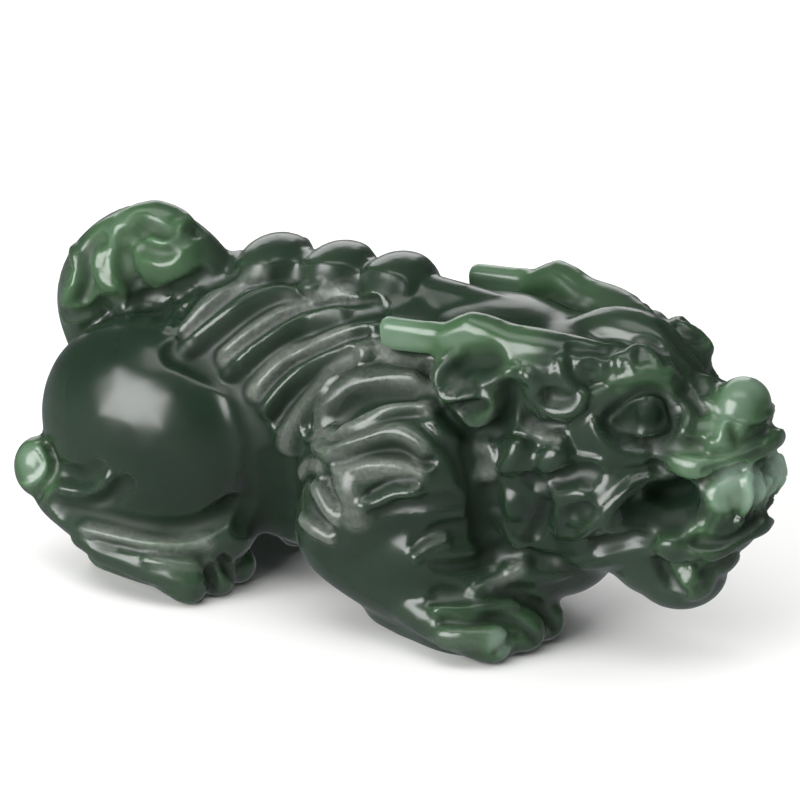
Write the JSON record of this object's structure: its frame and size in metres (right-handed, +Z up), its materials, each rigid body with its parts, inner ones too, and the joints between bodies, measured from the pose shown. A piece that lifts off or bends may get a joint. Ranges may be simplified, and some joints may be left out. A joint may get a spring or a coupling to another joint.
{
  "type": "jade figurine",
  "caption": "Crouching horned mythical beast with curled tail, carved in one piece from dark green nephrite, to stand on a desk or shelf",
  "frame": {"origin": "middle of the bounding box's bottom face, on the plane of the four soles", "axes": "+X from tail to nose, +Y to the beast's left, +Z up"},
  "size_m": [0.1044, 0.0438, 0.0488],
  "materials": {
    "nephrite": "polished stone, slightly translucent where thin"
  },
  "bodies": {
    "root": {"carved_stone": "nephrite"}
  },
  "joints": []
}
